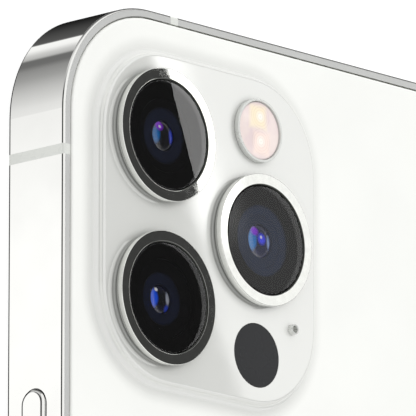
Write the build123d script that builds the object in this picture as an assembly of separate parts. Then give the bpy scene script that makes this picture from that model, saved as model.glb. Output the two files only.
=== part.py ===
from build123d import *
import os
from math import cos, radians, sin

# Smartphone with three rear cameras, in millimetres, as an assembly of separate pieces.
# Frame: the phone lies on its screen. Z = 0 is the outer face of the front glass and +Z points
# out of the back. +Y points to the top end and +X to the right as seen from the back.
# The origin is under the middle of the outline.

# --- body ---------------------------------------------------------------------------------
WIDTH = 71.5            # across the two side faces
LENGTH = 146.7          # between the two end faces
THICKNESS = 7.4         # front glass face to rear glass face
CORNER_R = 11.4         # plan radius of the body's corners
BAND_LOW = 0.06         # front lip of the steel band, just behind the front glass face
BAND_HIGH = 7.25        # rear lip of the steel band, below the rear glass face
FRONT_EDGE_R = 0.32     # rounding of the band's front edge
REAR_EDGE_R = 0.27      # rounding of the band's rear edge
LIP_W = 0.80            # width of the band's lips, seen from the front or back
GLASS_INSET = 0.93      # outer side face to the edge of either glass
GLASS_EDGE_R = 0.25     # rounding of the glass edges
WALL = 2.6              # thickness of the band
FRONT_GLASS_T = 0.70
REAR_GLASS_T = 0.80
GASKET_T = 0.25         # display gasket between the front glass and its ledge
MID_Z = 3.6             # height of the buttons, tray and port
FIT = 0.10              # gap around a loose piece in its opening
RUN = 0.05              # radial clearance of a pin in its bore
PAST = 1.0              # how far a cutter runs past a surface

REAR_LEDGE = THICKNESS - REAR_GLASS_T
FRONT_LEDGE = FRONT_GLASS_T + GASKET_T

# --- plastic breaks in the band -------------------------------------------------------------
BREAK_W = 1.0
SIDE_BREAK = 15.25      # middle of a side break, from the nearer end
END_BREAK = 14.7        # middle of an end break, from the nearer side

# --- rear camera plateau and lenses -----------------------------------------------------------
PLATEAU_W = 28.1
PLATEAU_L = 30.6
PLATEAU_R = 8.0
PLATEAU_MID = (18.4, 19.9)          # from the left side and the top end
PLATEAU_H = 1.05                    # above the rear glass
SKIRT_TOP_W = 0.30                  # convex shoulder outside the flat top
SKIRT_TOP_H = 0.35
SKIRT_FOOT_W = 1.10                 # concave foot outside the shoulder
RING_H = 0.90
RING_R = 6.24
RING_NECK_R = 5.65
COVER_R = 5.17
COVER_T = 0.62
COVER_SINK = 0.10                   # cover glass face below the ring's face
BARREL_R = 4.4
MODULE_W = 12.0
CAMERAS = {                         # name: from left, from top, glass radius, iris radius
    "telephoto": (11.82, 12.20, 2.3, 1.2),
    "wide": (11.82, 27.65, 2.6, 1.45),
    "ultrawide": (25.00, 19.93, 3.3, 1.0),
}
FOCUS_TRAVEL = 0.15
FLASH_AT = (24.65, 9.4)
FLASH_R = 3.05
FLASH_WALL = 0.30
FLASH_H = 0.50
DEPTH_AT = (24.6, 30.9)
DEPTH_R = 3.06
MIC_AT = (29.4, 27.7)
MIC_R = 0.50
MIC_BORE_R = 0.34
MIC_H = 0.50                        # the microphone's metal tube stands on the plateau

PLATEAU_TOP = THICKNESS + PLATEAU_H
RING_TOP = PLATEAU_TOP + RING_H

# --- buttons ----------------------------------------------------------------------------------
LEFT = -1
RIGHT = 1
BUTTON_H = 2.9
BUTTON_PROUD = 0.35
BUTTON_EDGE_R = 0.33
BUTTON_TRAVEL = 0.25
BUTTON_DEEP = 0.70                  # inner face of a cap, from the side face
BUTTON_RECESS = 1.10
POST_R = 0.60
POST_END = 2.70                     # inner end of a button's posts, from the side face
BRACKET_DEEP = 3.30                 # outer face of the switch brackets
BRACKET_T = 0.40
DOME_R = 1.0
SIDE_BUTTON = (46.1, 17.5, 5.4)     # middle from the top end, length, post offset
VOLUME_UP = (42.8, 10.8, 3.0)
VOLUME_DOWN = (56.8, 10.8, 3.0)
SWITCH_FROM_TOP = 27.5
SWITCH_SLOT = (5.8, 3.0)
SWITCH_CAP = (4.8, 1.5)
SWITCH_TRAVEL = 1.2
SWITCH_PROUD = 0.20
SWITCH_DEEP = 0.90
SWITCH_RECESS = 1.20
SWITCH_STEM = (1.6, 0.9)
SWITCH_STEM_END = 3.10

# --- card tray, on the right side ---------------------------------------------------------------
TRAY_FROM_TOP = 81.5
TRAY_HEAD = (17.4, 2.5)
TRAY_HEAD_T = 1.0
TRAY_PLATE = (-6.0, 8.0)            # edges of the plate, from the head's middle
TRAY_PLATE_T = 0.9
TRAY_END_X = 14.0
CARD = (12.5, 9.0)                  # pocket for the card
CARD_DEEP = 0.7
CARD_RIM = 1.0
SEAL_W = 0.58
SEAL_H = 0.46
SEAL_DEEP = (1.3, 2.1)              # the seal's two faces, from the side face
ROD_OFF = -7.3                      # eject rod, from the head's middle
ROD_R = 0.45
ROD_OUT_DEEP = 1.25                 # outer end of the rod, from the side face
LEVER_X = (10.4, 11.9)
LEVER_Y = (-8.2, 2.5)
LEVER_T = 0.8
LEVER_PIVOT = -3.0
LEVER_PIN_R = 0.6
LEVER_GAP = 0.30                    # rod to lever, at rest

# --- bottom end ---------------------------------------------------------------------------------
PORT = (7.6, 2.5)
PORT_CAVITY = (7.4, 2.3)
PORT_SHELL = (10.0, 8.5, 3.8)
PORT_DEPTH = 7.5
CONTACTS = 8
CONTACT_PITCH = 0.65
CONTACT = (0.4, 4.5, 0.10)
SCREW_X = 6.9
SCREW_HEAD_R = 0.85
SCREW_HEAD_T = 0.6
SCREW_R = 0.5
SCREW_L = 2.4
LOBES = 5
SOUND_HOLE_R = 0.75
SOUND_PITCH = 2.6
SOUND_START = 10.8
SPEAKER_HOLES = (0, 1, 2, 3, 5)     # the fifth place falls on a plastic break
MIC_HOLES = (0, 1, 2, 3)

# --- stack and layout of the inner pieces ----------------------------------------------------------
INNER_LOW = 2.0                     # back of the display stack
PLATE_Z = (5.55, 6.0)
BOARD_Z = (4.7, 5.5)
COIL_AT = (35.75, 76.35)
COIL_Z = (6.1, 6.6)
COIL_R = (9.0, 21.0)
MAGNET_R = (23.2, 27.2)
MAGNETS = 18


def spot(from_left, from_top):
    """Plan position of a point measured from the left side and the top end."""
    return (from_left - WIDTH / 2, LENGTH / 2 - from_top)


def below_top(from_top):
    """Y of a point measured from the top end."""
    return LENGTH / 2 - from_top


def side_x(side, depth):
    """X of a point measured inwards from the left or right side face."""
    return side * (WIDTH / 2 - depth)


def block(x, y, z):
    """Box between a low and a high value along each axis."""
    low_high = [sorted(pair) for pair in (x, y, z)]
    middle = [(low + high) / 2 for low, high in low_high]
    size = [high - low for low, high in low_high]
    return Pos(*middle) * Box(*size)


def around(middle, size):
    """Low and high value of a span of the given size about its middle."""
    return (middle - size / 2, middle + size / 2)


def slab(inset, low, high):
    """Plate with the phone's outline drawn in by an inset, between two heights."""
    outline = RectangleRounded(WIDTH - 2 * inset, LENGTH - 2 * inset, CORNER_R - inset)
    return Pos(0, 0, low) * extrude(outline, high - low)


def disc(centre, radius, low, high):
    """Upright cylinder between two heights."""
    return Pos(centre[0], centre[1], (low + high) / 2) * Cylinder(radius, high - low)


def turned(centre, points):
    """Solid turned about an upright axis from (radius, height) points."""
    profile = Plane.XZ * make_face(Polyline(*points, close=True))
    return Pos(centre[0], centre[1], 0) * revolve(profile, Axis.Z)


def side_pill(side, middle, size, depth_a, depth_b):
    """Pill-shaped bar along Y, between two depths from a side face."""
    x_low, x_high = sorted((side_x(side, depth_a), side_x(side, depth_b)))
    profile = Plane.YZ * SlotOverall(size[0], size[1])
    return Pos(x_low, middle[0], middle[1]) * extrude(profile, x_high - x_low)


def side_pin(side, middle, radius, depth_a, depth_b):
    """Round bar along X, between two depths from a side face."""
    x_low, x_high = sorted((side_x(side, depth_a), side_x(side, depth_b)))
    profile = Plane.YZ * Circle(radius)
    return Pos(x_low, middle[0], middle[1]) * extrude(profile, x_high - x_low)


def side_block(side, y, z, depth_a, depth_b):
    """Box between two depths from a side face."""
    return block((side_x(side, depth_a), side_x(side, depth_b)), y, z)


def bottom_pin(x, radius, depth_a, depth_b):
    """Round bar along Y at mid height, between two depths from the bottom end face."""
    length = depth_b - depth_a
    profile = Plane.XZ * Circle(radius)
    return Pos(x, depth_b - LENGTH / 2, MID_Z) * extrude(profile, length)


def bottom_pill(size, depth_a, depth_b):
    """Pill-shaped bar along X at mid height, between two depths from the bottom end face."""
    profile = Plane.XZ * SlotOverall(size[0], size[1])
    return Pos(0, depth_b - LENGTH / 2, MID_Z) * extrude(profile, depth_b - depth_a)


def nearest(solids, point):
    """The solid of a list that lies nearest to a point."""
    return solids.sort_by_distance(Vector(*point))[0]


def save(node, solids):
    """Write one node, which holds one solid or a group of separate solids."""
    group = solids if isinstance(solids, (list, tuple)) else [solids]
    shape = group[0] if len(group) == 1 else Compound(children=list(group))
    export_step(shape, f"parts/{node}.step")


# --- steel band -------------------------------------------------------------------------------

def button_opening(side, button):
    """Recess for a button's cap and the two bores for its posts."""
    y = below_top(button[0])
    size = (button[1] + 2 * FIT, BUTTON_H + 2 * FIT)
    opening = side_pill(side, (y, MID_Z), size, -PAST, BUTTON_RECESS)
    for offset in (-button[2], button[2]):
        opening += side_pin(side, (y + offset, MID_Z), POST_R + RUN, 0, WALL + PAST)
    return opening


def switch_opening():
    """Recess for the ring switch and the slot its stem slides in."""
    y = below_top(SWITCH_FROM_TOP)
    recess = side_pill(RIGHT, (y, MID_Z), SWITCH_SLOT, -PAST, SWITCH_RECESS)
    slot_h = SWITCH_STEM[1] + SWITCH_TRAVEL + 3 * FIT
    slot_y = around(y, SWITCH_STEM[0] + 3 * FIT)
    return recess + side_block(RIGHT, slot_y, around(MID_Z, slot_h), 0, WALL + PAST)


def tray_opening():
    """Recess for the tray's head, the slot for its plate and seal, and the rod's bore."""
    y = below_top(TRAY_FROM_TOP)
    head = (TRAY_HEAD[0] + 2 * FIT, TRAY_HEAD[1] + 2 * FIT)
    recess = side_pill(RIGHT, (y, MID_Z), head, -PAST, TRAY_HEAD_T + FIT)
    slot_y = (y + TRAY_PLATE[0] - SEAL_W - RUN, y + TRAY_PLATE[1] + SEAL_W + RUN)
    slot_z = around(MID_Z, TRAY_PLATE_T + 2 * SEAL_H + 2 * RUN)
    slot = side_block(RIGHT, slot_y, slot_z, 0, WALL + PAST)
    bore = side_pin(RIGHT, (y + ROD_OFF, MID_Z), ROD_R + RUN, 0, WALL + PAST)
    return recess + slot + bore


def sound_holes():
    """The places along X of the speaker's holes and of the microphone's holes."""
    speaker = [SOUND_START + SOUND_PITCH * i for i in SPEAKER_HOLES]
    microphone = [-SOUND_START - SOUND_PITCH * i for i in MIC_HOLES]
    return speaker + microphone


def bottom_openings():
    """Port mouth, screw holes and sound holes."""
    openings = [bottom_pill(PORT, -PAST, WALL + PAST)]
    for x in (-SCREW_X, SCREW_X):
        openings.append(bottom_pin(x, SCREW_HEAD_R + RUN, -PAST, SCREW_HEAD_T))
        openings.append(bottom_pin(x, SCREW_R, 0, WALL + PAST))
    openings += [bottom_pin(x, SOUND_HOLE_R, -PAST, WALL + PAST) for x in sound_holes()]
    return openings


def whole_band():
    """The band as one ring, with a ledge for each glass and every opening cut."""
    band = slab(0, BAND_LOW, BAND_HIGH)
    band = fillet(band.faces().sort_by(Axis.Z)[0].edges(), FRONT_EDGE_R)
    band = fillet(band.faces().sort_by(Axis.Z)[-1].edges(), REAR_EDGE_R)
    band -= slab(LIP_W, BAND_LOW - PAST, FRONT_LEDGE)
    band -= slab(LIP_W, REAR_LEDGE, BAND_HIGH + PAST)
    band -= slab(WALL, BAND_LOW, BAND_HIGH)
    band -= button_opening(LEFT, SIDE_BUTTON)
    band -= button_opening(RIGHT, VOLUME_UP)
    band -= button_opening(RIGHT, VOLUME_DOWN)
    band -= switch_opening()
    band -= tray_opening()
    for opening in bottom_openings():
        band -= opening
    return band


def break_cutters():
    """Boxes across the band where the plastic breaks are: four in the sides, two in the ends."""
    z = (BAND_LOW - PAST, BAND_HIGH + PAST)
    cutters = []
    for side in (LEFT, RIGHT):
        for end in (-1, 1):
            y = around(end * (LENGTH / 2 - SIDE_BREAK), BREAK_W)
            cutters.append(side_block(side, y, z, -PAST, WALL + PAST))
    for end in (-1, 1):
        x = around(-end * (WIDTH / 2 - END_BREAK), BREAK_W)
        y = (end * (LENGTH / 2 + PAST), end * (LENGTH / 2 - WALL - PAST))
        cutters.append(block(x, y, z))
    return cutters


def make_band():
    """Six steel lengths of the band and the plastic breaks between them."""
    band = whole_band()
    cutters = break_cutters()
    steel = band
    for cutter in cutters:
        steel -= cutter
    lengths = steel.solids()
    half_w, half_l = WIDTH / 2, LENGTH / 2
    places = {
        "frame_rail_left": (-half_w, 0, MID_Z),
        "frame_rail_right": (half_w, half_l - SIDE_BREAK - BREAK_W, MID_Z),
        "frame_top": (0, half_l, MID_Z),
        "frame_bottom": (-half_w + CORNER_R, -half_l, MID_Z),
        "frame_corner_top": (-half_w, half_l - CORNER_R, MID_Z),
        "frame_corner_bottom": (half_w, -half_l + CORNER_R, MID_Z),
    }
    for node, place in places.items():
        save(node, nearest(lengths, place))
    inserts = [solid for cutter in cutters for solid in (band & cutter).solids()]
    save("antenna_breaks", inserts)


# --- glasses, plate and display ---------------------------------------------------------------

def camera_spot(name):
    """Plan position of a camera's axis."""
    return spot(*CAMERAS[name][:2])


def plateau_skirt():
    """Ring around the plateau: a convex shoulder over a wide concave foot."""
    outline = RectangleRounded(PLATEAU_W, PLATEAU_L, PLATEAU_R)
    path = (Pos(*spot(*PLATEAU_MID), THICKNESS) * outline).wire()
    foot_h = PLATEAU_H - SKIRT_TOP_H
    foot_out = SKIRT_TOP_W + SKIRT_FOOT_W
    bite = RUN                                   # the skirt reaches this far under the top
    shoulder = EllipticalCenterArc((0, foot_h), SKIRT_TOP_W, SKIRT_TOP_H, 0, arc_size=90)
    foot = EllipticalCenterArc((foot_out, foot_h), SKIRT_FOOT_W, foot_h, 180, arc_size=90)
    rest = Polyline((foot_out, 0), (foot_out, -bite), (-bite, -bite), (-bite, PLATEAU_H), (0, PLATEAU_H))
    start = path @ 0
    along = path % 0
    centre = Vector(*spot(*PLATEAU_MID), THICKNESS)
    across = along.cross(Vector(0, 0, 1))
    outward = across if across.dot(start - centre) > 0 else -across
    plane = Plane(origin=start, x_dir=outward, z_dir=outward.cross(Vector(0, 0, 1)))
    return sweep(plane * make_face([shoulder, foot, rest]), path=path)


def make_rear_glass():
    """Rear glass with the raised plateau and its holes, as one piece."""
    glass = slab(GLASS_INSET, REAR_LEDGE, THICKNESS)
    glass = fillet(glass.faces().sort_by(Axis.Z)[-1].edges(), GLASS_EDGE_R)
    plateau = extrude(RectangleRounded(PLATEAU_W, PLATEAU_L, PLATEAU_R), PLATEAU_TOP - REAR_LEDGE)
    glass += Pos(*spot(*PLATEAU_MID), REAR_LEDGE) * plateau
    glass += plateau_skirt()
    low, high = REAR_LEDGE - PAST, PLATEAU_TOP + PAST
    for name in CAMERAS:
        glass -= disc(camera_spot(name), RING_NECK_R, low, high)
    glass -= disc(spot(*FLASH_AT), FLASH_R - FLASH_WALL, low, high)
    glass -= disc(spot(*DEPTH_AT), DEPTH_R, low, high)
    glass -= disc(spot(*MIC_AT), MIC_R, low, high)
    save("rear_glass", glass)


EARPIECE = (11.0, 0.9)
EARPIECE_FROM_TOP = 4.2
PANEL_INSET = 2.9
PANEL_T = 0.8
NOTCH = (34.8, 8.7)                 # width, and depth from the top end


def earpiece_pill(grow, low, high):
    """Pill-shaped slot of the earpiece, grown all round, between two heights."""
    pill = SlotOverall(EARPIECE[0] + 2 * grow, EARPIECE[1] + 2 * grow)
    return Pos(0, below_top(EARPIECE_FROM_TOP), low) * extrude(pill, high - low)


def make_front():
    """Front glass, display panel, gasket and earpiece mesh."""
    glass = slab(GLASS_INSET, 0, FRONT_GLASS_T)
    glass = fillet(glass.faces().sort_by(Axis.Z)[0].edges(), GLASS_EDGE_R)
    save("front_glass", glass - earpiece_pill(0, -PAST, PAST))
    mesh_face = 0.15
    save("earpiece_mesh", earpiece_pill(0, mesh_face, FRONT_GLASS_T))
    panel = slab(PANEL_INSET, FRONT_GLASS_T, FRONT_GLASS_T + PANEL_T)
    notch_y = (below_top(NOTCH[1]), LENGTH / 2)
    save("display_panel", panel - block(around(0, NOTCH[0]), notch_y, (0, PAST + FRONT_GLASS_T + PANEL_T)))
    gasket_inset = (1.1, 2.5)
    gasket = slab(gasket_inset[0], FRONT_GLASS_T, FRONT_LEDGE)
    save("display_gasket", gasket - slab(gasket_inset[1], 0, FRONT_LEDGE + PAST))


CAMERA_WINDOW = ((-31.3, -3.6), (38.0, 68.4))
SENSOR_SPAN = (-17.4, 16.2)         # camera, earpiece and sensors in the display's notch
SENSOR_Y = (65.0, 70.3)
BRACKET_Z = (4.2, 6.5)


def make_mid_plate():
    """Inner plate that ties the rails together, open at the cameras and the coil."""
    plate = slab(WALL, *PLATE_Z)
    plate -= block(*CAMERA_WINDOW, (PLATE_Z[0] - PAST, PLATE_Z[1] + PAST))
    plate -= disc(spot(*COIL_AT), COIL_R[1] + PAST, PLATE_Z[0] - PAST, PLATE_Z[1] + PAST)
    save("mid_plate", plate)


# --- cameras -------------------------------------------------------------------------------------

def camera_ring(centre):
    """Steel ring: a flange that stands on the plateau, a neck through it and a seat for the glass."""
    edge = 0.12
    seat = RING_TOP - COVER_SINK - COVER_T
    neck_low = REAR_LEDGE + 0.3
    return turned(centre, [
        (BARREL_R + 2 * FIT, neck_low), (RING_NECK_R, neck_low), (RING_NECK_R, PLATEAU_TOP),
        (RING_R, PLATEAU_TOP), (RING_R, RING_TOP - edge), (RING_R - edge, RING_TOP),
        (COVER_R + edge, RING_TOP), (COVER_R, RING_TOP - edge), (COVER_R, seat),
        (BARREL_R + 2 * FIT, seat),
    ])


def lens_stack(centre, glass_r, iris_r):
    """Lens barrel with a stepped mouth, and the domed glass that it holds."""
    low, top = 4.4, RING_TOP - COVER_SINK - COVER_T - FOCUS_TRAVEL - FIT
    rim_w, rim_deep, slope = 0.35, 0.25, 0.20
    seat = top - 0.9
    iris_deep = 0.3
    mouth = BARREL_R - rim_w
    dome = 0.35
    barrel = turned(centre, [
        (iris_r, low), (BARREL_R, low), (BARREL_R, top), (mouth, top), (mouth, top - rim_deep),
        (glass_r, top - rim_deep - slope), (glass_r, seat), (iris_r, seat - iris_deep),
    ])
    bend = (glass_r ** 2 + dome ** 2) / (2 * dome)
    lens = disc(centre, glass_r, seat, seat + dome + RUN)
    return barrel, lens & Pos(centre[0], centre[1], seat + dome + RUN - bend) * Sphere(bend)


def camera_module(centre):
    """Square camera body with a bore that the barrel moves in."""
    high = 6.5
    floor = 4.0
    body = block(around(centre[0], MODULE_W), around(centre[1], MODULE_W), (INNER_LOW, high))
    body = fillet(body.edges().filter_by(Axis.Z), 1.0)
    return body - disc(centre, BARREL_R + 2 * FIT, floor, high + PAST)


def make_cameras():
    """Ring, cover glass, barrel, lens and body of each rear camera."""
    for name, (_, _, glass_r, iris_r) in CAMERAS.items():
        centre = camera_spot(name)
        save(f"camera_ring_{name}", camera_ring(centre))
        high = RING_TOP - COVER_SINK
        save(f"cover_glass_{name}", disc(centre, COVER_R, high - COVER_T, high))
        barrel, lens = lens_stack(centre, glass_r, iris_r)
        save(f"lens_barrel_{name}", barrel)
        save(f"lens_glass_{name}", lens)
        save(f"camera_module_{name}", camera_module(centre))


DEPTH_MODULE_W = 6.0


def make_camera_bracket():
    """Stiffening frame around the three cameras and the depth sensor."""
    rim = 0.3
    x, y = ((low + rim, high - rim) for low, high in CAMERA_WINDOW)
    bracket = block(x, y, BRACKET_Z) & slab(WALL + rim, *BRACKET_Z)
    bracket -= block(SENSOR_SPAN, (SENSOR_Y[0] - rim, y[1] + PAST), BRACKET_Z)
    z = (BRACKET_Z[0] - PAST, BRACKET_Z[1] + PAST)
    opening = MODULE_W + 3 * FIT
    for name in CAMERAS:
        centre = camera_spot(name)
        bracket -= block(around(centre[0], opening), around(centre[1], opening), z)
    centre = spot(*DEPTH_AT)
    opening = DEPTH_MODULE_W + 3 * FIT
    bracket -= block(around(centre[0], opening), around(centre[1], opening), z)
    flash = spot(*FLASH_AT)
    bracket -= disc(flash, FLASH_R + FIT, BRACKET_Z[0] - PAST, BRACKET_Z[1] + PAST)
    mic = spot(*MIC_AT)
    mic_opening = 2.0
    bracket -= block(around(mic[0], mic_opening), around(mic[1], mic_opening), z)
    save("camera_bracket", bracket)


def make_flash():
    """Flash ring and window, and the board with its two light sources."""
    centre = spot(*FLASH_AT)
    neck = FLASH_R - FLASH_WALL
    bore = neck - FLASH_WALL
    edge = 0.1
    top = PLATEAU_TOP + FLASH_H
    window_sink, window_t = 0.25, 0.5
    window_top = top - window_sink
    seat = window_top - window_t
    save("flash_ring", turned(centre, [
        (bore, REAR_LEDGE), (neck, REAR_LEDGE), (neck, PLATEAU_TOP), (FLASH_R, PLATEAU_TOP),
        (FLASH_R, top - edge), (FLASH_R - edge, top), (neck, top), (neck, seat), (bore, seat),
    ]))
    window = disc(centre, neck, seat, window_top)
    save("flash_window", fillet(window.faces().sort_by(Axis.Z)[-1].edges(), edge))
    board_z = (6.2, 7.6)
    board = disc(centre, bore - FIT, *board_z)
    die_w, die_t, die_off = 1.5, 0.3, 1.1
    dies = [
        block(around(centre[0], die_w), around(centre[1] + offset, die_w), (board_z[1], board_z[1] + die_t))
        for offset in (-die_off, die_off)
    ]
    save("flash_led_board", [board, *dies])


def make_depth_sensor():
    """Flush dark window of the depth sensor and the module under it."""
    centre = spot(*DEPTH_AT)
    window_low = PLATEAU_TOP - 0.8
    save("depth_sensor_window", disc(centre, DEPTH_R, window_low, PLATEAU_TOP))
    span = [around(value, DEPTH_MODULE_W) for value in centre]
    body_high = 6.4
    nose_r = 2.56
    nose = disc(centre, nose_r, body_high, window_low - FIT)
    save("depth_sensor_module", block(*span, (INNER_LOW, body_high)) + nose)


def make_rear_microphone():
    """Microphone can under the plateau with a short metal tube up its hole."""
    centre = spot(*MIC_AT)
    can_high = REAR_LEDGE - FIT
    top = PLATEAU_TOP + MIC_H
    mesh_sink = 0.12
    can_w, can_low = 1.9, 5.0
    can = block(around(centre[0], can_w), around(centre[1], can_w), (can_low, can_high))
    tube = disc(centre, MIC_R, can_high, top)
    tube = fillet(tube.faces().sort_by(Axis.Z)[-1].edges(), 0.08)
    save("rear_microphone", can + tube - disc(centre, MIC_BORE_R, top - mesh_sink, top + PAST))


# --- buttons and switch ---------------------------------------------------------------------------

def press_button(side, button):
    """Pill-shaped cap with two posts that reach through the band."""
    y = below_top(button[0])
    cap = side_pill(side, (y, MID_Z), (button[1], BUTTON_H), -BUTTON_PROUD, BUTTON_DEEP)
    outer = cap.faces().sort_by(Axis.X)[0 if side == LEFT else -1]
    cap = fillet(outer.edges(), BUTTON_EDGE_R)
    for offset in (-button[2], button[2]):
        cap += side_pin(side, (y + offset, MID_Z), POST_R, BUTTON_DEEP - RUN, POST_END)
    return cap


def dome_places(button):
    """Y of the two switch domes behind a button."""
    y = below_top(button[0])
    return [y - button[2], y + button[2]]


def switch_bracket(side, y_span, feet, domes):
    """Plate behind the buttons with feet on the band, and a switch dome behind each post."""
    foot_w, plate_h = 1.6, 3.2
    z = around(MID_Z, plate_h)
    plate = side_block(side, y_span, z, BRACKET_DEEP, BRACKET_DEEP + BRACKET_T)
    for y in feet:
        plate += side_block(side, around(y, foot_w), z, WALL, BRACKET_DEEP + RUN)
    dome_face = POST_END + BUTTON_TRAVEL + RUN
    caps = [side_pin(side, (y, MID_Z), DOME_R, dome_face, BRACKET_DEEP) for y in domes]
    return [plate, *caps]


def make_controls():
    """The three buttons, the ring switch and the two switch brackets."""
    save("side_button", press_button(LEFT, SIDE_BUTTON))
    save("volume_up_button", press_button(RIGHT, VOLUME_UP))
    save("volume_down_button", press_button(RIGHT, VOLUME_DOWN))
    margin = 2.2
    half_foot = 0.8
    left = dome_places(SIDE_BUTTON)
    feet = [left[0] - margin, left[1] + margin]
    span = (feet[0] - half_foot, feet[1] + half_foot)
    save("side_button_switches", switch_bracket(LEFT, span, feet, left))
    domes = dome_places(VOLUME_UP) + dome_places(VOLUME_DOWN)
    switch_y = below_top(SWITCH_FROM_TOP)
    between = (below_top(VOLUME_UP[0]) + below_top(VOLUME_DOWN[0])) / 2
    feet = [min(domes) - margin, between, max(domes) + margin, switch_y + margin]
    span = (feet[0] - half_foot, feet[-1] + half_foot)
    save("volume_button_switches", switch_bracket(RIGHT, span, feet, domes))
    z = MID_Z - SWITCH_TRAVEL / 2
    cap = side_pill(RIGHT, (switch_y, z), SWITCH_CAP, -SWITCH_PROUD, SWITCH_DEEP)
    edge = 0.15
    cap = fillet(cap.faces().sort_by(Axis.X)[-1].edges(), edge)
    stem_y, stem_z = around(switch_y, SWITCH_STEM[0]), around(z, SWITCH_STEM[1])
    stem = side_block(RIGHT, stem_y, stem_z, SWITCH_DEEP - RUN, SWITCH_STEM_END)
    save("ring_switch", cap + stem)


# --- card tray ----------------------------------------------------------------------------------------

def make_tray():
    """Tray with its head, card pocket and pin hole, and the seal around its plate."""
    y = below_top(TRAY_FROM_TOP)
    head = side_pill(RIGHT, (y, MID_Z), TRAY_HEAD, 0, TRAY_HEAD_T)
    head -= side_pin(RIGHT, (y + ROD_OFF, MID_Z), ROD_R, -PAST, TRAY_HEAD_T + PAST)
    plate_y = (y + TRAY_PLATE[0], y + TRAY_PLATE[1])
    plate_z = around(MID_Z, TRAY_PLATE_T)
    plate = block((TRAY_END_X, side_x(RIGHT, TRAY_HEAD_T - RUN)), plate_y, plate_z)
    card_x = (TRAY_END_X + CARD_RIM, TRAY_END_X + CARD_RIM + CARD[0])
    card_y = around(sum(plate_y) / 2, CARD[1])
    plate -= block(card_x, card_y, (plate_z[0] - PAST, plate_z[0] + CARD_DEEP))
    window_x = (card_x[0] + CARD_RIM, card_x[1] - CARD_RIM)
    window_y = (card_y[0] + CARD_RIM, card_y[1] - CARD_RIM)
    plate -= block(window_x, window_y, (plate_z[0], plate_z[1] + PAST))
    save("sim_tray", head + plate)
    seal_y = (plate_y[0] - SEAL_W, plate_y[1] + SEAL_W)
    seal_z = (plate_z[0] - SEAL_H, plate_z[1] + SEAL_H)
    seal = side_block(RIGHT, seal_y, seal_z, *SEAL_DEEP)
    save("sim_tray_seal", seal - side_block(RIGHT, plate_y, plate_z, 0, WALL))


def make_reader():
    """Card reader that the tray slides into, with the post that the eject lever turns on."""
    y = below_top(TRAY_FROM_TOP)
    wall = 0.5
    gap = 0.15
    mouth_gap, back_room = 0.2, 1.4
    x = (TRAY_END_X - back_room, side_x(RIGHT, WALL + mouth_gap))
    slot_y = (y + TRAY_PLATE[0] - FIT, y + TRAY_PLATE[1] + FIT)
    slot_z = (MID_Z - TRAY_PLATE_T / 2 - gap, MID_Z + TRAY_PLATE_T / 2 + gap)
    shell = block(x, (slot_y[0] - wall, slot_y[1] + wall), (slot_z[0] - wall, BOARD_Z[0]))
    shell -= block((x[0] - PAST, x[1] + PAST), slot_y, slot_z)
    base_rim = 0.8
    base_x = (LEVER_X[0] - base_rim, x[1])
    shell += block(base_x, (y + LEVER_Y[0] - base_rim, slot_y[1] + wall), (slot_z[1], BOARD_Z[0]))
    pivot = (sum(LEVER_X) / 2, y + LEVER_PIVOT)
    lever_low = MID_Z - LEVER_T / 2
    shell += disc(pivot, LEVER_PIN_R, lever_low - FIT, slot_z[1])
    head_rim, head_t = 0.4, 0.25
    shell += disc(pivot, LEVER_PIN_R + head_rim, lever_low - FIT - head_t, lever_low - FIT)
    save("sim_reader", shell)


def make_ejector():
    """Eject rod behind the tray's pin hole, and the lever that it turns."""
    y = below_top(TRAY_FROM_TOP)
    rod_end = WIDTH / 2 - LEVER_X[1] - LEVER_GAP
    save("sim_eject_rod", side_pin(RIGHT, (y + ROD_OFF, MID_Z), ROD_R, ROD_OUT_DEEP, rod_end))
    lever_y = (y + LEVER_Y[0], y + LEVER_Y[1])
    lever = block(LEVER_X, lever_y, around(MID_Z, LEVER_T))
    corner, boss_rim = 0.6, 0.6
    lever = fillet(lever.edges().filter_by(Axis.Z), corner)
    pivot = (sum(LEVER_X) / 2, y + LEVER_PIVOT)
    boss = disc(pivot, LEVER_PIN_R + boss_rim, *around(MID_Z, LEVER_T))
    bore = disc(pivot, LEVER_PIN_R + RUN, *around(MID_Z, LEVER_T + PAST))
    save("sim_eject_lever", lever + boss - bore)


# --- bottom end -----------------------------------------------------------------------------------------

def make_port():
    """Shell of the charging port and the contacts on the rear wall of its cavity."""
    start = WALL - LENGTH / 2
    shell = block(around(0, PORT_SHELL[0]), (start, start + PORT_SHELL[1]), around(MID_Z, PORT_SHELL[2]))
    shell = fillet(shell.edges().filter_by(Axis.Y), 1.2)
    save("charge_port", shell - bottom_pill(PORT_CAVITY, WALL - PAST, WALL + PORT_DEPTH))
    wall_z = MID_Z + PORT_CAVITY[1] / 2
    contact_y = (start + PORT_DEPTH - CONTACT[1], start + PORT_DEPTH)
    first = -CONTACT_PITCH * (CONTACTS - 1) / 2
    save("port_contacts", [
        block(around(first + CONTACT_PITCH * i, CONTACT[0]), contact_y, (wall_z - CONTACT[2], wall_z))
        for i in range(CONTACTS)
    ])


def bottom_screw(x):
    """Small screw from the bottom end, with a five-lobed socket."""
    head_face = 0.12
    socket_deep = 0.45
    screw = bottom_pin(x, SCREW_HEAD_R, head_face, SCREW_HEAD_T)
    screw += bottom_pin(x, SCREW_R, SCREW_HEAD_T - RUN, SCREW_HEAD_T + SCREW_L)
    lobe_at, lobe_r = 0.30, 0.15
    socket = Circle(lobe_at)
    for i in range(LOBES):
        angle = radians(360 / LOBES * i + 90)
        socket += Pos(lobe_at * cos(angle), lobe_at * sin(angle)) * Circle(lobe_r)
    deep = head_face + socket_deep
    cutter = Pos(x, deep - LENGTH / 2, MID_Z) * extrude(Plane.XZ * socket, deep + PAST)
    return screw - cutter


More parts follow.
